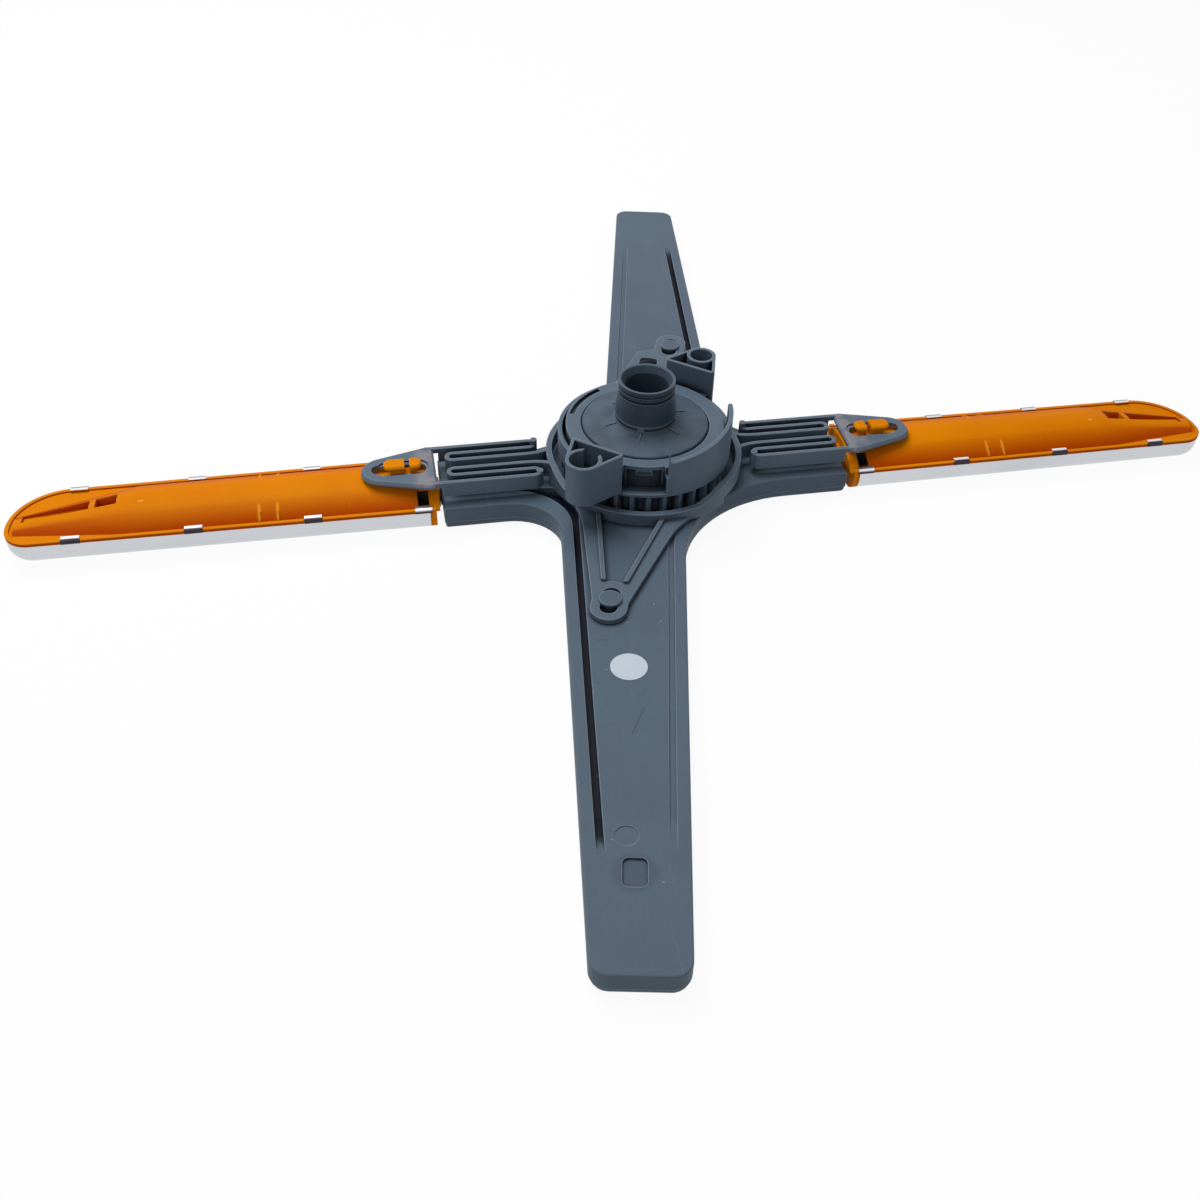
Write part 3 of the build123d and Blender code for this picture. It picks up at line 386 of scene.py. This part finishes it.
link_plastic = moulded_plastic(
    "link_plastic", link_light, link_dark, grey_scratch_and_shade, grey_wear_and_highlight, marks=plate_rub_and_reflection
)
finish_nodes(["link_member"], link_plastic)


# Side arm ducts and nozzle trays: orange polypropylene with the duct's half-round crest, clipped into
# the steel covers. Painted shade deepens the colour on steep flanks and in the pockets, the thin stiffeners
# get a painted highlight, and a pale gate mark is left on each crest.

orange_light = linear(235, 138, 0)
orange_dark = linear(225, 124, 0)
# Deep red for painted shade in the pockets and hollows.
orange_shade = linear(168, 50, 0)
# Red for painted shade on the steep flanks.
orange_flank_shade = linear(186, 62, 0)
# Pale orange for scuff wear and for painted highlights on edges and stiffeners.
orange_wear_and_highlight = linear(244, 160, 30)
orange_gate = linear(240, 176, 92)
flank_low = 11.4 * mm
flank_high = 18.4 * mm
flank_start = 88.0 * mm
flank_fade = 5.0 * mm
gate_place = (199.5 * mm, -2.3 * mm)
gate_length = 1.3 * mm
gate_width = 0.65 * mm
stiffener_middle = 151.5 * mm
stiffener_offset = 3.5 * mm
stiffener_width = 0.8 * mm
stiffener_beside = 8.0 * mm
stiffener_fade = 2.0 * mm
stiffener_height = 13.0 * mm
stiffener_rise = 1.0 * mm


def duct_marks(place):
    """Painted shade on the flanks, a painted highlight on the stiffeners and the pale gate mark near the end
    of the crest.
    """
    reach = place.along("X").size()
    # Steep faces low on the duct get painted shade.
    steep_shade = 1 - place.node("ShaderNodeTexCoord", {}, {}, "Normal").along("Z").held(0.93, 0.985)
    low = 1 - place.along("Z").held(flank_low, flank_high)
    low = low * reach.held(flank_start, flank_start + flank_fade)
    beside = place.along("Y").size()
    stiffener = ((reach - stiffener_middle).size() - stiffener_offset).size()
    # The stiffeners get a painted highlight.
    stiffener_highlight = 1 - stiffener.held(stiffener_width / 2, stiffener_width)
    stiffener_highlight = stiffener_highlight * beside.held(stiffener_beside, stiffener_beside + stiffener_fade)
    stiffener_highlight = stiffener_highlight * place.along("Z").held(stiffener_height - stiffener_rise, stiffener_height)
    gate = 1 - (reach - gate_place[0]).size().held(gate_length / 2, gate_length)
    gate = gate * (1 - (place.along("Y") - gate_place[1]).size().held(gate_width / 2, gate_width))
    return [(steep_shade * low * 0.92, orange_flank_shade), (stiffener_highlight * 0.8, orange_wear_and_highlight), (gate * 0.6, orange_gate)]


arm_orange = moulded_plastic(
    "arm_orange", orange_light, orange_dark, orange_shade, orange_wear_and_highlight,
    turn=radians(90), marks=duct_marks, gloss=0.03, shade_onset=0.05
)
finish_nodes(["left_arm_duct", "right_arm_duct", "left_nozzle_tray", "right_nozzle_tray"], arm_orange)


# Steel covers: bright rolled stainless sheet, half a millimetre thick, pressed round the orange trays.
# Four tabs on each side are bent over the ducts' rims in a rounded fold, whose low part and outer bend
# carry a painted dark reflection, except on the tab beside the root, which is kept bright.

steel_stained = linear(190, 193, 198)
steel_bright = linear(212, 214, 218)
rolling_stretch = (6.0, 900.0, 900.0)
rolling_depth = 0.1 * mm
water_stain_count = 30.0
sheet_rounding = 0.3 * mm

cover_steel, loose, shader, place = new_finish("cover_steel")
rolled = place.stretched(0.0, rolling_stretch).noise(1.0, 3.0)
stain = place.noise(water_stain_count, 3.0)
soft = loose.node("ShaderNodeBevel", {"samples": 4}, {"Radius": sheet_rounding})
grooves = {"Strength": 0.08, "Distance": rolling_depth, "Height": rolled, "Normal": soft}
feed(shader, {
    "Base Color": loose.blend(stain, steel_stained, steel_bright),
    "Metallic": 1.0,
    "Roughness": 0.22 + rolled * 0.16,
    "Normal": loose.node("ShaderNodeBump", {}, grooves),
})
finish_nodes(["left_steel_cover", "right_steel_cover"], cover_steel)

fold_root = 87.0 * mm
fold_reach = 163.0 * mm
fold_half_root = 18.0 * mm
fold_half_tip = 16.8 * mm
fold_taper = (fold_half_root - fold_half_tip) / fold_reach
fold_height = 12.58 * mm
fold_proud = 0.08 * mm
# Dark colour for the fold's painted dark reflection.
fold_dark_reflection = linear(58, 52, 56)
fold_bright = linear(222, 221, 225)
bend_low = 11.4 * mm
bend_high = 12.5 * mm
bend_outer = 0.3 * mm
bend_inner = 1.2 * mm
root_tab_end = 98.0 * mm
root_tab_fade = 2.0 * mm
smear_count = 300.0

fold_steel, loose, shader, place = new_finish("fold_steel")
reach = place.along("X").size()
inward = fold_half_root - (reach - fold_root) * fold_taper - place.along("Y").size()
# The tab beside the root is kept bright; elsewhere the fold's low part and outer bend get a painted dark
# reflection.
root_tab_bright = 1 - reach.held(root_tab_end, root_tab_end + root_tab_fade)
fold_bright_share = loose.maths("MAXIMUM", inward.held(bend_outer, bend_inner), root_tab_bright)
shade = place.along("Z").held(bend_low, bend_high) * fold_bright_share
feed(shader, {
    "Base Color": loose.blend(shade, fold_dark_reflection, fold_bright),
    "Metallic": 1.0,
    "Roughness": 0.34 - shade * 0.12 + place.noise(smear_count, 2.0) * 0.1,
})

fold_stations = (5.0 * mm, 47.8 * mm, 92.9 * mm, 138.0 * mm)
fold_steps = 8
fold_crease = radians(50)
fold_sizes = {
    "Length": 6.7 * mm,
    "Sheet": 0.3 * mm,
    "Drop": 1.9 * mm,
    "Lip": 2.3 * mm,
    "Bend": 0.6 * mm,
    "Steel": fold_steel,
}

fold_tree = bpy.data.node_groups.new("folded_tabs", "GeometryNodeTree")
fold_tree.interface.new_socket("Spots", in_out="INPUT", socket_type="NodeSocketGeometry")
for name in fold_sizes:
    kind = "NodeSocketMaterial" if name == "Steel" else "NodeSocketFloat"
    fold_tree.interface.new_socket(name, in_out="INPUT", socket_type=kind)
fold_tree.interface.new_socket("Tabs", in_out="OUTPUT", socket_type="NodeSocketGeometry")
loose = Wire(fold_tree)
given_node = fold_tree.nodes.new("NodeGroupInput")
given = {socket.name: Wire(fold_tree, socket) for socket in given_node.outputs if socket.name}
line = loose.node("GeometryNodeCurvePrimitiveLine", {}, {"Start": (0, 0, 0), "End": (0, 0, 1)})
line = loose.node("GeometryNodeResampleCurve", {"mode": "COUNT"}, {"Curve": line, "Count": 3})
count = loose.node("GeometryNodeInputIndex", {}, {})
drop = (loose.maths("MINIMUM", count, 1.0) - 1) * given["Drop"]
lip = loose.maths("MAXIMUM", count - 1, 0.0) * given["Lip"] * -1
bent = loose.node("ShaderNodeCombineXYZ", {}, {"Y": lip, "Z": drop})
line = loose.node("GeometryNodeSetPosition", {}, {"Geometry": line, "Position": bent})
rounding = {"Curve": line, "Radius": given["Bend"], "Count": fold_steps}
line = loose.node("GeometryNodeFilletCurve", {"mode": "POLY"}, rounding)
strip = {"Width": given["Length"], "Height": given["Sheet"]}
strip = loose.node("GeometryNodeCurvePrimitiveQuadrilateral", {"mode": "RECTANGLE"}, strip)
tab = {"Curve": line, "Profile Curve": strip, "Fill Caps": True}
tab = loose.node("GeometryNodeCurveToMesh", {}, tab)
tab = loose.node("GeometryNodeSetShadeSmooth", {"domain": "FACE"}, {0: tab, "Shade Smooth": True})
fold_edge = loose.node("GeometryNodeInputMeshEdgeAngle", {}, {}, "Unsigned Angle")
sharp = loose.node("FunctionNodeCompare", {"operation": "GREATER_THAN"}, {0: fold_edge, 1: fold_crease})
crisp = {0: tab, "Selection": sharp, "Shade Smooth": False}
tab = loose.node("GeometryNodeSetShadeSmooth", {"domain": "EDGE"}, crisp)
spot_y = loose.node("GeometryNodeInputPosition", {}, {}).along("Y")
faced = loose.node("ShaderNodeCombineXYZ", {}, {"Z": loose.maths("LESS_THAN", spot_y, 0.0) * pi})
tabs = {"Points": given["Spots"], "Instance": tab, "Rotation": faced}
tabs = loose.node("GeometryNodeInstanceOnPoints", {}, tabs)
tabs = loose.node("GeometryNodeRealizeInstances", {}, {"Geometry": tabs})
tabs = loose.node("GeometryNodeSetMaterial", {}, {"Geometry": tabs, "Material": given["Steel"]})
fold_tree.links.new(tabs.socket, fold_tree.nodes.new("NodeGroupOutput").inputs["Tabs"])

for body, end in (("left_arm", -1), ("right_arm", 1)):
    spots = []
    for station in fold_stations:
        half = fold_half_root - fold_taper * station + fold_proud
        spots += [(end * (fold_root + station), side * half, fold_height) for side in (-1, 1)]
    spot_mesh = bpy.data.meshes.new(body + "_tab_spots")
    spot_mesh.from_pydata(spots, [], [])
    folds = bpy.data.objects.new(body + "_tab_folds", spot_mesh)
    bpy.context.scene.collection.objects.link(folds)
    grower = folds.modifiers.new("folded_tabs", "NODES")
    grower.node_group = fold_tree
    for socket in fold_tree.interface.items_tree:
        if socket.name in fold_sizes:
            grower[socket.identifier] = fold_sizes[socket.name]
    grown = folds.evaluated_get(bpy.context.evaluated_depsgraph_get())
    folds.data = bpy.data.meshes.new_from_object(grown)
    folds.modifiers.remove(folds.modifiers["folded_tabs"])
    bpy.data.meshes.remove(spot_mesh)
    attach(folds, body)


# Floor: one large sheet of plain white card under the arm. The camera and shiny surfaces see it as white,
# and it keeps a faint shadow of the arm.

floor_size = 24.0
floor_glow = 0.93
pure_white = (1.0, 1.0, 1.0, 1.0)
card_grey = (0.65, 0.65, 0.65, 1.0)

floor_mesh = bpy.data.meshes.new("floor")
floor_shape = bmesh.new()
bmesh.ops.create_grid(floor_shape, x_segments=1, y_segments=1, size=floor_size / 2)
floor_shape.to_mesh(floor_mesh)
floor_shape.free()
floor = bpy.data.objects.new("floor", floor_mesh)
bpy.context.scene.collection.objects.link(floor)
floor_white, loose, shader, place = new_finish("floor_white")
watched = loose.node("ShaderNodeLightPath", {}, {}, "Is Camera Ray")
mirrored = loose.node("ShaderNodeLightPath", {}, {}, "Is Glossy Ray")
card = loose.blend(watched, card_grey, pure_white)
feed(shader, {"Base Color": card, "Roughness": 0.9, "Specular IOR Level": 0.0})
glow = loose.node("ShaderNodeEmission", {}, {"Color": pure_white, "Strength": 1.0})
sheet = Wire(loose.tree, shader.outputs[0])
share = loose.maths("MAXIMUM", watched, mirrored) * floor_glow
shown = loose.node("ShaderNodeMixShader", {}, {0: share, 1: sheet, 2: glow})
loose.tree.links.new(shown.socket, loose.tree.nodes["Material Output"].inputs["Surface"])
floor_white.cycles.emission_sampling = "NONE"
floor_mesh.materials.append(floor_white)


# Studio light: a large softbox above and behind to the left, and a weak one from the front left. The room
# is white to the camera and in reflections, and adds a little light from all round.

for name, spot, size, power in (
    ("softbox_top", (-0.30, 0.40, 1.15), 0.9, 12.3),
    ("softbox_front", (-0.60, -0.90, 0.70), 0.9, 1.9),
):
    lamp = bpy.data.lights.new(name, "AREA")
    lamp.shape = "SQUARE"
    lamp.size = size
    lamp.energy = power
    stand = bpy.data.objects.new(name, lamp)
    stand.location = spot
    stand.rotation_euler = (-Vector(spot)).to_track_quat("-Z", "Y").to_euler()
    bpy.context.scene.collection.objects.link(stand)

room_light = 0.22
room = bpy.data.worlds.new("studio")
room.use_nodes = True
bpy.context.scene.world = room
loose = Wire(room.node_tree)
watched = loose.node("ShaderNodeLightPath", {}, {}, "Is Camera Ray")
mirrored = loose.node("ShaderNodeLightPath", {}, {}, "Is Glossy Ray")
strength = room_light + loose.maths("MAXIMUM", watched, mirrored) * (1 - room_light)
feed(room.node_tree.nodes["Background"], {"Color": pure_white, "Strength": strength})


# Camera at the photograph's place: 0.55 m from the hub, looking down at 41.6 degrees from the front left.
# The lens is shifted a little, because the photograph's frame isn't centred on its axis.

view_azimuth = radians(-12.96)
view_height = radians(41.56)
view_roll = radians(2.71)
view_distance = 551.73 * mm
view_offset = (-3.27 * mm, -48.39 * mm)
frame_pixels = 1200
focal_pixels = 1304.27
axis_pixel = (634.11, 602.18)
nearest_seen = 10.0 * mm

back = Vector((
    sin(view_azimuth) * cos(view_height),
    -cos(view_azimuth) * cos(view_height),
    sin(view_height),
))
level = Vector((0, 0, 1)).cross(back).normalized()
upright = back.cross(level)
right = cos(view_roll) * level + sin(view_roll) * upright
top = cos(view_roll) * upright - sin(view_roll) * level
eye = back * view_distance + right * view_offset[0] + top * view_offset[1]
lens = bpy.data.cameras.new("photo_view")
lens.sensor_width = 36.0
lens.lens = focal_pixels * lens.sensor_width / frame_pixels
lens.shift_x = (frame_pixels / 2 - axis_pixel[0]) / frame_pixels
lens.shift_y = (axis_pixel[1] - frame_pixels / 2) / frame_pixels
lens.clip_start = nearest_seen
camera = bpy.data.objects.new("photo_view", lens)
camera.matrix_world = Matrix.Translation(eye) @ Matrix((right, top, back)).transposed().to_4x4()
bpy.context.scene.collection.objects.link(camera)
bpy.context.scene.camera = camera
bpy.context.scene.view_settings.view_transform = "Standard"
